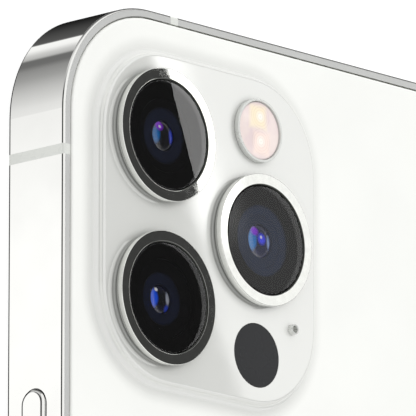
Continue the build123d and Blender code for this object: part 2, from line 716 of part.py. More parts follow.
def make_bottom():
    """Screws, loudspeaker and haptic motor behind the bottom end."""
    save("bottom_screws", [bottom_screw(x) for x in (-SCREW_X, SCREW_X)])
    gap = 0.35
    speaker = block((8.4, 30.5), (-LENGTH / 2, -51.5), (INNER_LOW, 5.4))
    speaker &= slab(WALL + gap, INNER_LOW, 5.4)
    save("loudspeaker", fillet(speaker.edges().filter_by(Axis.Z), 0.8))
    wall = 0.45
    x, y, z = (-30.5, -6.5), (-59.5, -51.0), (INNER_LOW, 5.4)
    inner = [(low + wall, high - wall) for low, high in (x, y, z)]
    save("haptic_housing", block(x, y, z) - block(*inner))
    mass = block(around(sum(x) / 2, 18.0), around(sum(y) / 2, 6.8), around(sum(z) / 2, 1.9))
    save("haptic_mass", fillet(mass.edges().filter_by(Axis.Z), 0.6))


# --- power and electronics ----------------------------------------------------------------------------------

def outline_plate(points, low, high):
    """Flat plate with a straight-edged outline, between two heights."""
    return Pos(0, 0, low) * extrude(make_face(Polyline(*points, close=True)), high - low)


def make_battery_and_board():
    """L-shaped battery beside the L-shaped logic board, and the board's shields."""
    left, inner, right = -31.0, 8.4, 31.0
    bottom, step, top = -49.0, -28.0, 35.0
    battery = outline_plate([
        (left, bottom), (right, bottom), (right, step), (inner, step), (inner, top), (left, top),
    ], INNER_LOW, 5.4)
    save("battery", fillet(battery.edges().filter_by(Axis.Z), 1.2))
    board_left, board_top_left, board_right = 9.6, -2.6, 31.4
    board_low, board_step, board_high = -26.5, 36.5, 64.0
    save("logic_board", outline_plate([
        (board_left, board_low), (board_right, board_low), (board_right, board_high),
        (board_top_left, board_high), (board_top_left, board_step), (board_left, board_step),
    ], *BOARD_Z))
    skin = 0.2
    z = (2.2, BOARD_Z[0])
    cans = []
    for x, y in (((10.2, 30.8), (2.0, 35.5)), ((-2.0, 30.8), (37.5, 63.0)), ((10.2, 30.8), (-26.0, -18.6))):
        hollow = block((x[0] + skin, x[1] - skin), (y[0] + skin, y[1] - skin), (z[0] + skin, z[1] + PAST))
        cans.append(block(x, y, z) - hollow)
    save("board_shields", cans)


def make_charging():
    """Flat charging coil and the ring of magnets around it, with the bar magnet below."""
    centre = spot(*COIL_AT)
    save("charging_coil", disc(centre, COIL_R[1], *COIL_Z) - disc(centre, COIL_R[0], 0, THICKNESS))
    ring = disc(centre, MAGNET_R[1], *COIL_Z) - disc(centre, MAGNET_R[0], 0, THICKNESS)
    gap_w = 0.5
    for i in range(MAGNETS):
        turn = Rot(0, 0, 360 / MAGNETS * i)
        gap = block((0, MAGNET_R[1] + PAST), around(0, gap_w), (COIL_Z[0] - PAST, COIL_Z[1] + PAST))
        ring -= Pos(*centre) * turn * gap
    bar = block(around(centre[0], 5.6), around(centre[1] - 41.0, 15.0), COIL_Z)
    save("magnet_ring", [*ring.solids(), bar])


def make_front_sensors():
    """Front camera, face sensors and earpiece speaker, in the display's notch."""
    y = SENSOR_Y
    camera = block(around(-9.6, 5.4), y, (1.6, 5.0))
    camera += disc((-9.6, sum(y) / 2), 1.9, FRONT_GLASS_T, 1.6)
    save("front_camera", camera)
    projector = block(around(-15.2, 3.8), y, (FRONT_GLASS_T, 4.4))
    infrared = block(around(13.4, 4.8), y, (1.4, 4.6)) + disc((13.4, sum(y) / 2), 1.6, FRONT_GLASS_T, 1.4)
    save("face_sensors", [projector, infrared])
    speaker = block((-5.8, 9.6), y, (1.1, 3.6))
    save("earpiece_speaker", speaker + earpiece_pill(0.2, FRONT_GLASS_T, 1.1))


os.makedirs("parts", exist_ok=True)
make_band()
make_rear_glass()
make_front()
make_mid_plate()
make_cameras()
make_camera_bracket()
make_flash()
make_depth_sensor()
make_rear_microphone()
make_controls()
make_tray()
make_reader()
make_ejector()
make_port()
make_bottom()
make_battery_and_board()
make_charging()
make_front_sensors()
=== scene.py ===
import math

import bmesh
import bpy
from mathutils import Matrix, Vector


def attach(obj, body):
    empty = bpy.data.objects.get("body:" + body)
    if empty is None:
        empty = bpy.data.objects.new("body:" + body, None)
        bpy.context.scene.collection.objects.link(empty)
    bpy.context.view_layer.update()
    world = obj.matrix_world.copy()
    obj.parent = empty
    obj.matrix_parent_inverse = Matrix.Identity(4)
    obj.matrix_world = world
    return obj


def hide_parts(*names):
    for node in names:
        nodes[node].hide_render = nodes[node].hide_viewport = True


# A white smartphone with three rear cameras, lying on its screen, seen from above its back.
# The row frame is in metres; sizes written in millimetres are multiplied by MM.

MM = 0.001
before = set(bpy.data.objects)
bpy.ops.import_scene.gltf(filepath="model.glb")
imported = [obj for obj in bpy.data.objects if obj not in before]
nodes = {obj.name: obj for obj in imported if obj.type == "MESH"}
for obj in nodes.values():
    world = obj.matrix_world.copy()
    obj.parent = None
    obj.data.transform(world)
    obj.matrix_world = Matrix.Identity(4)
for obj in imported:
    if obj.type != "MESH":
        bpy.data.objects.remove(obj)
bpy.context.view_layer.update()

PLATEAU_TOP = 8.45                  # heights above the screen face
RING_TOP = 9.35
PLATEAU_MID = (-17.35, 53.45)       # plan positions are from the middle of the phone
PLATEAU_HALF = (14.05, 15.30)
PLATEAU_R = 8.0
CAMERAS = {
    "telephoto": (-23.93, 61.15),
    "wide": (-23.93, 45.70),
    "ultrawide": (-10.75, 53.42),
}
FLASH = (-11.10, 63.95)
DEPTH_SENSOR = (-11.15, 42.45)
REAR_MIC = (-6.35, 45.65)
INK_Z = 8.60                        # height of the ink under the cover glasses
BARREL_R = 4.4
BARREL_LOW = 6.2
RING_BEVEL_R = 5.32                 # where a ring's flat face ends, towards the glass
SEGMENTS = 128                      # steps around a turned piece


# ---------------------------------------------------------------------------- materials

class Graph:
    """Short names for building a tree of shader nodes."""

    def __init__(self, tree):
        self.tree = tree

    def add(self, kind, inputs=None, **settings):
        node = self.tree.nodes.new(kind)
        for key, value in settings.items():
            setattr(node, key, value)
        for key, value in (inputs or {}).items():
            self.feed(node.inputs[key], value)
        return node

    def feed(self, socket, value):
        if isinstance(value, bpy.types.NodeSocket):
            self.tree.links.new(value, socket)
        elif hasattr(value, "__len__") and len(value) == 3 and socket.type == "RGBA":
            socket.default_value = (*value, 1.0)
        else:
            socket.default_value = value

    def math(self, operation, first, second=0.0):
        return self.add("ShaderNodeMath", {0: first, 1: second}, operation=operation).outputs[0]

    def fade(self, value, low, high, out_low=0.0, out_high=1.0):
        """A smooth step from out_low at low to out_high at high."""
        inputs = {0: value, 1: low, 2: high, 3: out_low, 4: out_high}
        return self.add("ShaderNodeMapRange", inputs, interpolation_type="SMOOTHSTEP").outputs[0]

    def ramp(self, value, *stops):
        """The colour at that value, between stops of (position, colour)."""
        node = self.add("ShaderNodeValToRGB", {0: value})
        band = node.color_ramp.elements
        while len(band) < len(stops):
            band.new(0.5)
        for element, (position, colour) in zip(band, stops):
            element.position = position
            element.color = (*colour, 1.0)
        return node.outputs[0]

    def mix(self, factor, first, second):
        """Blend of two colours."""
        inputs = {0: factor, 6: first, 7: second}
        return self.add("ShaderNodeMix", inputs, data_type="RGBA").outputs[2]

    def blend(self, factor, first, second):
        """Blend of two numbers."""
        inputs = {0: factor, 2: first, 3: second}
        return self.add("ShaderNodeMix", inputs, data_type="FLOAT").outputs[0]


class Shade(Graph):
    """One procedural material, placed by position in the object's own space."""

    def __init__(self, name, **settings):
        self.material = bpy.data.materials.new(name)
        self.material.use_nodes = True
        super().__init__(self.material.node_tree)
        self.shader = self.tree.nodes["Principled BSDF"]
        self.place = self.add("ShaderNodeTexCoord").outputs["Object"]
        self.x, self.y, self.z = self.add("ShaderNodeSeparateXYZ", {0: self.place}).outputs
        for socket, value in settings.items():
            self.set(socket.replace("_", " "), value)

    def set(self, socket, value):
        self.feed(self.shader.inputs[socket], value)
        return self

    def noise(self, cell, detail=2.0, stretch=(1, 1, 1)):
        """Values around 0.5, in cells of that size in millimetres."""
        spread = self.add("ShaderNodeVectorMath", {0: self.place, 1: stretch}, operation="MULTIPLY")
        inputs = {"Vector": spread.outputs[0], "Scale": 1 / (cell * MM), "Detail": detail}
        return self.add("ShaderNodeTexNoise", inputs).outputs["Fac"]

    def length(self, across, along):
        squared = self.math("ADD", self.math("POWER", across, 2.0), self.math("POWER", along, 2.0))
        return self.math("SQRT", squared)

    def radius(self, centre, squash=(1.0, 1.0)):
        """Distance in millimetres from an upright axis through that point, in millimetres."""
        across = self.math("SUBTRACT", self.x, centre[0] * MM)
        along = self.math("SUBTRACT", self.y, centre[1] * MM)
        across = self.math("MULTIPLY", across, squash[0] / MM)
        along = self.math("MULTIPLY", along, squash[1] / MM)
        return self.length(across, along)

    def outline(self, centre, half, corner):
        """Distance in millimetres outside a rounded rectangle, seen from above."""
        across = self.math("ABSOLUTE", self.math("SUBTRACT", self.x, centre[0] * MM))
        along = self.math("ABSOLUTE", self.math("SUBTRACT", self.y, centre[1] * MM))
        across = self.math("MAXIMUM", self.math("SUBTRACT", across, (half[0] - corner) * MM), 0.0)
        along = self.math("MAXIMUM", self.math("SUBTRACT", along, (half[1] - corner) * MM), 0.0)
        distance = self.math("DIVIDE", self.length(across, along), MM)
        return self.math("SUBTRACT", distance, corner)

    def square(self, centre):
        """Distance in millimetres from that point, measured along the longer of X and Y."""
        across = self.math("SUBTRACT", self.x, centre[0] * MM)
        along = self.math("SUBTRACT", self.y, centre[1] * MM)
        longer = self.math("MAXIMUM", self.math("ABSOLUTE", across), self.math("ABSOLUTE", along))
        return self.math("DIVIDE", longer, MM)

    def normal_z(self):
        normal = self.add("ShaderNodeNewGeometry").outputs["Normal"]
        return self.add("ShaderNodeSeparateXYZ", {0: normal}).outputs[2]

    def bump(self, height, depth, strength=1.0):
        """Relief of that depth in millimetres."""
        inputs = {"Strength": strength, "Distance": depth * MM, "Height": height}
        self.set("Normal", self.add("ShaderNodeBump", inputs).outputs[0])
        return self


def srgb(red, green, blue):
    """Linear colour of 8-bit screen values."""
    def linear(value):
        value /= 255
        return value / 12.92 if value <= 0.04045 else ((value + 0.055) / 1.055) ** 2.4
    return (linear(red), linear(green), linear(blue))


def speckled(name, colour, change=0.06, cell=0.4, roughness=0.4, spread=0.08, **settings):
    """A surface whose colour and roughness vary a little in grains of that cell, in millimetres."""
    shade = Shade(name, **settings)
    grain = shade.noise(cell, 4.0)
    darker = tuple(channel * (1 - change) for channel in colour)
    lighter = tuple(min(1.0, channel * (1 + change)) for channel in colour)
    shade.set("Base Color", shade.ramp(grain, (0.35, darker), (0.65, lighter)))
    shade.set("Roughness", shade.fade(grain, 0.3, 0.7, roughness - spread, roughness + spread))
    return shade


def rear_glass_material():
    """Satin white glass, polished over the camera plateau, with painted soft shade beside raised
    pieces.
    """
    shade = Shade("satin_white_glass")
    mottle = shade.noise(9.0, 3.0)
    etch = shade.noise(0.09, 2.0)
    on_plateau = shade.fade(shade.z, 7.46 * MM, 7.60 * MM)
    flat_top = shade.fade(shade.z, 8.10 * MM, 8.45 * MM)
    satin = shade.ramp(mottle, (0.3, srgb(248, 249, 245)), (0.7, srgb(251, 252, 248)))
    gloss = shade.ramp(mottle, (0.3, srgb(229, 230, 226)), (0.7, srgb(232, 233, 229)))
    colour = shade.mix(flat_top, satin, gloss)
    # Painted shade: a darker band just outside the plateau's foot.
    away = shade.outline(PLATEAU_MID, PLATEAU_HALF, PLATEAU_R)
    painted_foot_shade = shade.math("MULTIPLY", shade.fade(away, -0.1, 0.75), shade.fade(away, 2.4, 0.75))
    colour = shade.mix(shade.math("MULTIPLY", painted_foot_shade, 0.20), colour, srgb(70, 72, 68))
    # Painted shadow: the plateau top is darkened beside each camera ring and the flash ring, reaching
    # further on their -X side.
    near = 0.0
    for centre, reach in [(at, 6.2) for at in CAMERAS.values()] + [(FLASH, 3.0)]:
        spot = (centre[0] - 0.14 * reach, centre[1] - 0.05 * reach)
        near = shade.math("MAXIMUM", near, shade.fade(shade.radius(spot), reach + 0.7, reach - 0.8))
    near = shade.math("MULTIPLY", near, flat_top)
    colour = shade.mix(shade.math("MULTIPLY", near, 0.55), colour, srgb(40, 42, 38))
    shade.set("IOR", shade.blend(on_plateau, 1.5, 2.6))
    rough = shade.fade(mottle, 0.3, 0.7, 0.44, 0.50)
    polished = shade.fade(shade.noise(2.0), 0.3, 0.7, 0.035, 0.05)
    shade.set("Base Color", colour)
    shade.set("Roughness", shade.blend(on_plateau, rough, polished))
    relief = shade.math("MULTIPLY", etch, shade.math("SUBTRACT", 1.0, on_plateau))
    shade.bump(relief, 0.0006)
    return shade.material


def polished_steel_material():
    """Mirror-polished steel, with satin lips front and back and painted dark reflections as outlines on
    rounded edges.
    """
    shade = Shade("polished_steel", Metallic=1.0)
    flatness = shade.math("ABSOLUTE", shade.normal_z())
    lip = shade.fade(flatness, 0.93, 0.995)
    fine = shade.noise(0.05, 3.0, (1.0, 1.0, 12.0))
    tint = shade.noise(6.0, 2.0)
    mirror = shade.ramp(tint, (0.3, srgb(240, 240, 237)), (0.7, srgb(245, 245, 242)))
    satin = shade.ramp(tint, (0.3, srgb(208, 209, 207)), (0.7, srgb(214, 215, 213)))
    # Painted reflection: rounded edges turned away from the view are darkened into outlines.
    facing = shade.add("ShaderNodeLayerWeight", {"Blend": 0.5}).outputs["Facing"]
    off_upright = shade.fade(flatness, 0.04, 0.20)
    off_flat = shade.fade(flatness, 0.97, 0.90)
    rounded = shade.math("MULTIPLY", off_upright, off_flat)
    outline = shade.math("MULTIPLY", shade.fade(facing, 0.36, 0.56), rounded)
    shade.set("Base Color", shade.mix(outline, shade.mix(lip, mirror, satin), srgb(24, 25, 24)))
    shade.set("Metallic", shade.blend(lip, 1.0, 0.25))
    polish = shade.fade(fine, 0.3, 0.7, 0.018, 0.032)
    shade.set("Roughness", shade.blend(lip, polish, 0.38))
    return shade.material


def ring_steel_material():
    """Bright turned steel: a collar with painted shade towards its foot, painted shade in the groove
    above it, a bright face, painted shade on the inner bevel.
    """
    shade = Shade("turned_steel", Metallic=1.0)
    wave = shade.noise(0.6, 3.0)
    bright = shade.ramp(wave, (0.3, srgb(238, 239, 235)), (0.7, srgb(246, 247, 243)))
    height = shade.math("DIVIDE", shade.math("SUBTRACT", shade.z, PLATEAU_TOP * MM), MM)
    # Painted shade: the collar darkens towards its foot on the plateau.
    collar = shade.mix(shade.fade(height, 0.02, 0.28), srgb(168, 170, 166), srgb(236, 237, 233))
    # Painted shade: a dark band in the groove between the collar and the face.
    groove = shade.math("MULTIPLY", shade.fade(height, 0.27, 0.30), shade.fade(height, 0.42, 0.39))
    tone = shade.mix(shade.fade(height, 0.36, 0.42), collar, bright)
    tone = shade.mix(groove, tone, srgb(70, 71, 70))
    nearest = 99.0
    for centre in CAMERAS.values():
        nearest = shade.math("MINIMUM", nearest, shade.radius(centre))
    # Painted shade: the inner bevel towards the glass is darkened.
    bevel = shade.fade(nearest, RING_BEVEL_R, 5.28)
    shade.set("Base Color", shade.mix(bevel, tone, srgb(84, 86, 82)))
    shade.set("Roughness", shade.fade(wave, 0.3, 0.7, 0.012, 0.03))
    return shade.material


# ---------------------------------------------------------------------------- shapes

def arc(centre, radius, start, end, steps=8):
    """Points (r, z) on an arc of a profile, angles in degrees."""
    turns = [math.radians(start + (end - start) * i / steps) for i in range(steps + 1)]
    return [(centre[0] + radius * math.cos(t), centre[1] + radius * math.sin(t)) for t in turns]


def held(profile, hold=0.02):
    """The profile with points added near the ends of long runs, so flats stay flat when smoothed."""
    points = []
    for (r0, z0), (r1, z1) in zip(profile, profile[1:] + profile[:1]):
        points.append((r0, z0))
        run = math.hypot(r1 - r0, z1 - z0)
        if run > 4 * hold and max(r0, r1) > 0:
            for part in (hold / run, 1 - hold / run):
                points.append((r0 + (r1 - r0) * part, z0 + (z1 - z0) * part))
    return points


def lathe(name, centre, profile, material, body, replaced=()):
    """A turned piece: a closed profile of (r, z) points in millimetres, spun about an upright axis."""
    shape = bmesh.new()
    rings = []
    for radius, height in held(profile):
        if radius < 1e-6:
            rings.append([shape.verts.new((centre[0] * MM, centre[1] * MM, height * MM))])
            continue
        ring = []
        for i in range(SEGMENTS):
            turn = math.tau * i / SEGMENTS
            x = centre[0] + radius * math.cos(turn)
            y = centre[1] + radius * math.sin(turn)
            ring.append(shape.verts.new((x * MM, y * MM, height * MM)))
        rings.append(ring)
    for low, high in zip(rings, rings[1:] + rings[:1]):
        if len(low) == 1 and len(high) == 1:
            continue
        for i in range(SEGMENTS):
            j = (i + 1) % SEGMENTS
            corners = [
                low[i % len(low)], low[j % len(low)], high[j % len(high)], high[i % len(high)],
            ]
            shape.faces.new(list(dict.fromkeys(corners)))
    bmesh.ops.recalc_face_normals(shape, faces=shape.faces)
    return finish_piece(name, shape, material, body, replaced)


def finish_piece(name, shape, material, body, replaced=(), sharp=32):
    """Turns a bmesh into a named piece that rides its body."""
    mesh = bpy.data.meshes.new(name)
    for face in shape.faces:
        face.smooth = True
    shape.to_mesh(mesh)
    shape.free()
    mesh.set_sharp_from_angle(angle=math.radians(sharp))
    mesh.materials.append(material)
    piece = bpy.data.objects.new(name, mesh)
    bpy.context.collection.objects.link(piece)
    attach(piece, body)
    if replaced:
        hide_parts(*replaced)
    return piece


# ---------------------------------------------------------------------------- cameras

ink = speckled("black_ink", srgb(4, 4, 4), cell=1.5, roughness=0.5, Specular_IOR_Level=0.02)
ring_steel = ring_steel_material()


def cover_glass(name, index):
    """Clear polished crystal; a higher index mirrors more."""
    shade = Shade(name, Transmission_Weight=1.0, IOR=index, Base_Color=(1, 1, 1))
    shade.set("Roughness", shade.fade(shade.noise(3.0), 0.3, 0.7, 0.0, 0.004))
    return shade.material


clear_glass = cover_glass("cover_crystal", 1.60)
coated_glass = cover_glass("cover_crystal_coated", 1.38)


def lens_with_painted_gleams(name, centre, spots, edge, middle):
    """Dark coated glass with painted coloured reflections and white highlights of its inner surfaces,
    placed by position, which also glow a little.

    Each spot is (dx, dy, radius, softness, stretch, colour), in millimetres from the lens centre.
    """
    shade = Shade(name, Coat_Weight=1.0, Coat_Roughness=0.01, IOR=1.6, Metallic=0.0)
    distance = shade.radius(centre)
    colour = shade.mix(shade.fade(distance, 0.2, 1.5), middle, edge)
    # Painted reflections and highlights: coloured gleams and white spots laid over the glass.
    for dx, dy, radius, softness, stretch, tint in spots:
        place = (centre[0] + dx, centre[1] + dy)
        glow = shade.fade(shade.radius(place, stretch), radius, max(radius - softness, 0.0))
        colour = shade.mix(glow, colour, tint)
    shade.set("Base Color", colour)
    # Painted glow: the painted gleams also give off a little light.
    shade.set("Emission Color", colour)
    shade.set("Emission Strength", 0.12)
    shade.set("Roughness", shade.fade(shade.noise(0.8), 0.3, 0.7, 0.03, 0.06))
    return shade.material


def ring_profile():
    """Section of a camera ring: stepped wall, rounded outer edge, flat face, bevel to the glass."""
    base = PLATEAU_TOP
    return [
        (5.65, base - 1.2), (5.65, base - 0.01), (6.10, base - 0.01),
        *arc((6.10, base + 0.06), 0.07, -90, 0, 4),
        (6.17, base + 0.28), (6.08, base + 0.31), (6.08, base + 0.38), (6.26, base + 0.40),
        *arc((6.27, base + 0.42), 0.02, -90, 0, 3),
        *arc((6.23, RING_TOP - 0.06), 0.06, 0, 90, 8),
        *arc((RING_BEVEL_R, RING_TOP - 0.04), 0.04, 90, 180, 4),
        (5.28, RING_TOP - 0.14), (5.24, RING_TOP - 0.16), (5.24, INK_Z),
        (4.75, INK_Z), (4.75, base - 1.2),
    ]


def cover_profile():
    """Section of a cover glass, with a small ground edge."""
    radius, low, high = 5.12, 8.63, 9.25
    return [(0, low), (radius, low), *arc((radius - 0.05, high - 0.05), 0.05, 0, 90, 5), (0, high)]


def camera(name, body, window, steps, lens_r, lens_z, lens_material, floor_material, glass):
    """The ring, glass, ink, stepped barrel and front lens of one camera.

    window is the radius that the ink leaves clear, and steps are the (radius, height) of the
    barrel's steps, from the outside in.
    """
    centre = CAMERAS[name]
    lathe(f"camera_ring_{name}_turned", centre, ring_profile(), ring_steel, "phone",
          [f"camera_ring_{name}"])
    lathe(f"cover_glass_{name}_ground", centre, cover_profile(), glass, "phone",
          [f"cover_glass_{name}"])
    lathe(f"ink_{name}", centre, [
        (window, INK_Z), (window, 8.62), (5.14, 8.62), (5.14, 9.21), (5.22, 9.21), (5.22, INK_Z),
    ], ink.material, "phone")
    barrel = [(0, BARREL_LOW), (BARREL_R, BARREL_LOW), (BARREL_R, steps[0][1]), steps[0]]
    for (radius, _), (_, height) in zip(steps, steps[1:]):
        barrel += [(radius, height + 0.05), (radius - 0.05, height)]
    barrel += [(lens_r + 0.02, steps[-1][1]), (lens_r, lens_z - 0.2), (0, lens_z - 0.2)]
    lathe(f"lens_barrel_{name}_stepped", centre, barrel, floor_material, body,
          [f"lens_barrel_{name}"])
    dome = lens_r * 0.20
    sphere = (lens_r ** 2 + dome ** 2) / (2 * dome)
    half = math.degrees(math.asin(lens_r / sphere))
    crown = arc((0, lens_z + dome - sphere), sphere, 90 - half, 90, 14)
    crown = [(radius * 0.985, height) for radius, height in crown[:-1]] + [(0, lens_z + dome)]
    rim = lens_z - 0.15
    lathe(f"lens_glass_{name}_coated", centre, [(0, rim), (lens_r * 0.985, rim), *crown],
          lens_material, body, [f"lens_glass_{name}"])


def navy(name, colour, centre, inner, outer):
    """Inside of a barrel: dark, with a blue cast towards its middle."""
    shade = Shade(name, Specular_IOR_Level=0.03)
    distance = shade.radius(centre)
    tone = shade.mix(shade.fade(distance, inner, outer), colour, srgb(4, 4, 6))
    fine = shade.noise(0.12, 3.0)
    shade.set("Base Color", tone)
    shade.set("Roughness", shade.fade(fine, 0.3, 0.7, 0.30, 0.45))
    return shade.material


at = CAMERAS["telephoto"]
camera(
    "telephoto", "telephoto_lens", window=3.6, steps=[(3.5, 8.44), (2.66, 8.42), (1.9, 8.22)],
    lens_r=1.42, lens_z=8.10, lens_material=lens_with_painted_gleams("coating_and_painted_gleams_telephoto", at, [
        (-0.95, 0.0, 0.75, 0.45, (1.3, 0.7), srgb(0, 112, 190)),
        (1.05, 0.1, 0.70, 0.5, (1.3, 0.7), srgb(30, 60, 215)),
        (-0.54, 0.89, 0.62, 0.4, (1.0, 1.0), srgb(150, 40, 240)),
        (-0.50, 0.80, 0.20, 0.12, (1.0, 1.0), srgb(255, 255, 255)),
    ], srgb(6, 10, 26), srgb(5, 6, 12)),
    floor_material=navy("navy_telephoto", srgb(30, 36, 56), at, 2.4, 2.8),
    glass=clear_glass,
)
at = CAMERAS["wide"]
camera(
    "wide", "wide_lens", window=3.8, steps=[(3.7, 8.44), (2.5, 8.26), (1.8, 8.0)],
    lens_r=1.38, lens_z=7.75, lens_material=lens_with_painted_gleams("coating_and_painted_gleams_wide", at, [
        (-0.90, 0.0, 0.80, 0.4, (1.3, 0.7), srgb(0, 90, 255)),
        (1.0, 0.2, 0.62, 0.4, (1.3, 0.7), srgb(190, 195, 210)),
        (0.9, -0.8, 0.55, 0.4, (1.0, 1.0), srgb(20, 60, 200)),
        (-0.55, 0.85, 0.24, 0.14, (1.0, 1.0), srgb(255, 255, 255)),
    ], srgb(8, 16, 60), srgb(4, 5, 12)),
    floor_material=navy("navy_wide", srgb(26, 32, 54), at, 2.3, 2.6),
    glass=clear_glass,
)
at = CAMERAS["ultrawide"]
camera(
    "ultrawide", "phone", window=3.55, steps=[(3.4, 8.58), (2.6, 8.48), (2.0, 8.3)],
    lens_r=1.62, lens_z=8.10, lens_material=lens_with_painted_gleams("coating_and_painted_gleams_ultrawide", at, [
        (-1.05, 0.0, 0.80, 0.4, (1.3, 0.6), srgb(0, 120, 200)),
        (-0.75, 0.85, 0.60, 0.4, (1.0, 1.0), srgb(140, 30, 230)),
        (1.15, 0.1, 0.55, 0.4, (1.3, 0.6), srgb(130, 160, 225)),
        (0.1, 0.2, 0.75, 0.5, (1.0, 1.0), srgb(60, 70, 255)),
        (0.0, 0.35, 0.22, 0.16, (1.0, 1.0), srgb(245, 240, 255)),
    ], srgb(8, 20, 70), srgb(10, 16, 60)),
    floor_material=navy("navy_ultrawide", srgb(34, 46, 72), at, 3.2, 3.5),
    glass=coated_glass,
)

# ---------------------------------------------------------------------------- flash, sensor, mic

FLASH_TOP = PLATEAU_TOP + 0.50
flash_ring = speckled("anodised_grey", srgb(230, 232, 228), change=0.02, cell=2.0, roughness=0.22,
                      Metallic=0.3, IOR=1.6)
lathe("flash_ring_turned", FLASH, [
    (2.60, PLATEAU_TOP - 0.9), (2.74, PLATEAU_TOP - 0.9), (2.74, PLATEAU_TOP - 0.01),
    (3.00, PLATEAU_TOP - 0.01), (3.04, PLATEAU_TOP + 0.03),
    *arc((2.96, FLASH_TOP - 0.08), 0.08, 0, 90, 6),
    *arc((2.84, FLASH_TOP - 0.04), 0.04, 90, 180, 4),
    (2.78, FLASH_TOP - 0.26), (2.70, FLASH_TOP - 0.70), (2.60, FLASH_TOP - 0.70),
], flash_ring.material, "phone", ["flash_ring"])


def flash_material():
    """Two warm lights seen through a clear fresnel window, placed by position, each with a painted
    white highlight, and painted shade at the window's rim.
    """
    shade = Shade("fresnel_window", Coat_Weight=0.4, Coat_Roughness=0.05, IOR=1.45)
    haze = shade.fade(shade.noise(1.6), 0.3, 0.7)
    colour = shade.mix(haze, srgb(236, 218, 218), srgb(244, 229, 224))
    lights = (
        ((-0.20, 1.30), srgb(253, 238, 208), (0.12, 1.36)),
        ((0.30, -1.20), srgb(255, 234, 224), (0.20, -1.02)),
    )
    arcs = 0.0
    for die, tint, painted_highlight_at in lights:
        edge = shade.square((FLASH[0] + die[0], FLASH[1] + die[1]))
        colour = shade.mix(shade.fade(edge, 1.45, 0.65), colour, tint)
        # Painted highlight: a white hot spot over each light.
        distance = shade.radius((FLASH[0] + painted_highlight_at[0], FLASH[1] + painted_highlight_at[1]))
        colour = shade.mix(shade.fade(distance, 0.75, 0.05), colour, srgb(255, 252, 244))
        wave = shade.math("SINE", shade.math("MULTIPLY", distance, math.tau / 0.28))
        near = shade.fade(distance, 1.45, 1.10)
        crest = shade.math("MULTIPLY", shade.fade(wave, 0.80, 1.0), near)
        arcs = shade.math("MAXIMUM", crest, arcs)
    colour = shade.mix(shade.math("MULTIPLY", arcs, 0.30), colour, srgb(200, 168, 160))
    # Painted shade: a darker band at the window's rim, below the ring's edge.
    rim = shade.fade(shade.radius(FLASH), 2.55, 2.78)
    shade.set("Base Color", shade.mix(rim, colour, srgb(196, 186, 186)))
    shade.set("Roughness", shade.fade(shade.noise(0.5), 0.3, 0.7, 0.10, 0.16))
    shade.bump(arcs, 0.01, 0.4)
    return shade.material


lathe("flash_window_fresnel", FLASH, [
    (0, FLASH_TOP - 0.70), (2.69, FLASH_TOP - 0.70), (2.76, FLASH_TOP - 0.24),
    *arc((2.70, FLASH_TOP - 0.24), 0.06, 0, 90, 3), (0, FLASH_TOP - 0.10),
], flash_material(), "phone", ["flash_window"])

sensor = Shade("sensor_filter", IOR=1.4)
sensor_tone = sensor.noise(3.0, 2.0)
sensor.set("Base Color", sensor.ramp(sensor_tone, (0.3, srgb(42, 43, 45)), (0.7, srgb(48, 49, 51))))
sensor.set("Roughness", sensor.fade(sensor_tone, 0.3, 0.7, 0.22, 0.30))
lathe("depth_sensor_window_ground", DEPTH_SENSOR, [
    (0, PLATEAU_TOP - 0.6), (3.03, PLATEAU_TOP - 0.6), (3.03, PLATEAU_TOP - 0.03),
    *arc((2.99, PLATEAU_TOP - 0.04), 0.04, 0, 90, 3), (0, PLATEAU_TOP),
], sensor.material, "phone", ["depth_sensor_window"])

MIC_TOP = PLATEAU_TOP + 0.50
tube_steel = speckled("drawn_steel", srgb(224, 225, 222), change=0.03, cell=0.3, roughness=0.16,
                      Metallic=0.7)
lathe("rear_microphone_turned", REAR_MIC, [
    (0.33, PLATEAU_TOP - 0.6), (0.49, PLATEAU_TOP - 0.6),
    *arc((0.45, MIC_TOP - 0.04), 0.04, 0, 90, 4),
    *arc((0.37, MIC_TOP - 0.04), 0.04, 90, 180, 4),
    (0.33, PLATEAU_TOP - 0.1), (0.0, PLATEAU_TOP - 0.1), (0.0, PLATEAU_TOP - 0.6),
], tube_steel.material, "phone", ["rear_microphone"])

# ---------------------------------------------------------------------------- carried-over nodes

def woven(name, colour, cell, depth, **settings):
    """Fine mesh or weave: crossing ridges along X and Y."""
    shade = Shade(name, **settings)
    along = shade.math("SINE", shade.math("MULTIPLY", shade.x, math.tau / (cell * MM)))
    across = shade.math("SINE", shade.math("MULTIPLY", shade.y, math.tau / (cell * MM)))
    weave = shade.math("MULTIPLY", along, across)
    darker = tuple(channel * 0.4 for channel in colour)
    shade.set("Base Color", shade.mix(shade.fade(weave, -0.8, 0.8), darker, colour))
    shade.set("Roughness", shade.fade(weave, -1.0, 1.0, 0.35, 0.6))
    return shade.bump(weave, depth)


def front_glass_material():
    """Black polished glass, with the display's area a little bluer than its border."""
    shade = Shade("front_glass_black", Coat_Weight=1.0, Coat_Roughness=0.01, IOR=1.5)
    across = shade.math("SUBTRACT", shade.math("ABSOLUTE", shade.x), 0.0318)
    along = shade.math("SUBTRACT", shade.math("ABSOLUTE", shade.y), 0.0694)
    border = shade.fade(shade.math("MAXIMUM", across, along), -0.0001, 0.0001)
    notch_side = shade.math("SUBTRACT", shade.math("ABSOLUTE", shade.x), 0.0174)
    notch_end = shade.math("SUBTRACT", 0.0647, shade.y)
    notch = shade.fade(shade.math("MAXIMUM", notch_side, notch_end), 0.0001, -0.0001)
    bezel = shade.math("MAXIMUM", border, notch)
    panel = shade.ramp(shade.noise(25.0), (0.3, srgb(15, 16, 20)), (0.7, srgb(20, 21, 26)))
    shade.set("Base Color", shade.mix(bezel, panel, srgb(6, 6, 7)))
    shade.set("Roughness", shade.fade(shade.noise(12.0, 4.0), 0.3, 0.7, 0.03, 0.07))
    return shade


def plastic_break_material():
    """Pale moulded plastic between the lengths of steel."""
    return speckled("break_plastic", srgb(226, 228, 223), change=0.01, cell=1.5, roughness=0.30,
                    spread=0.05)


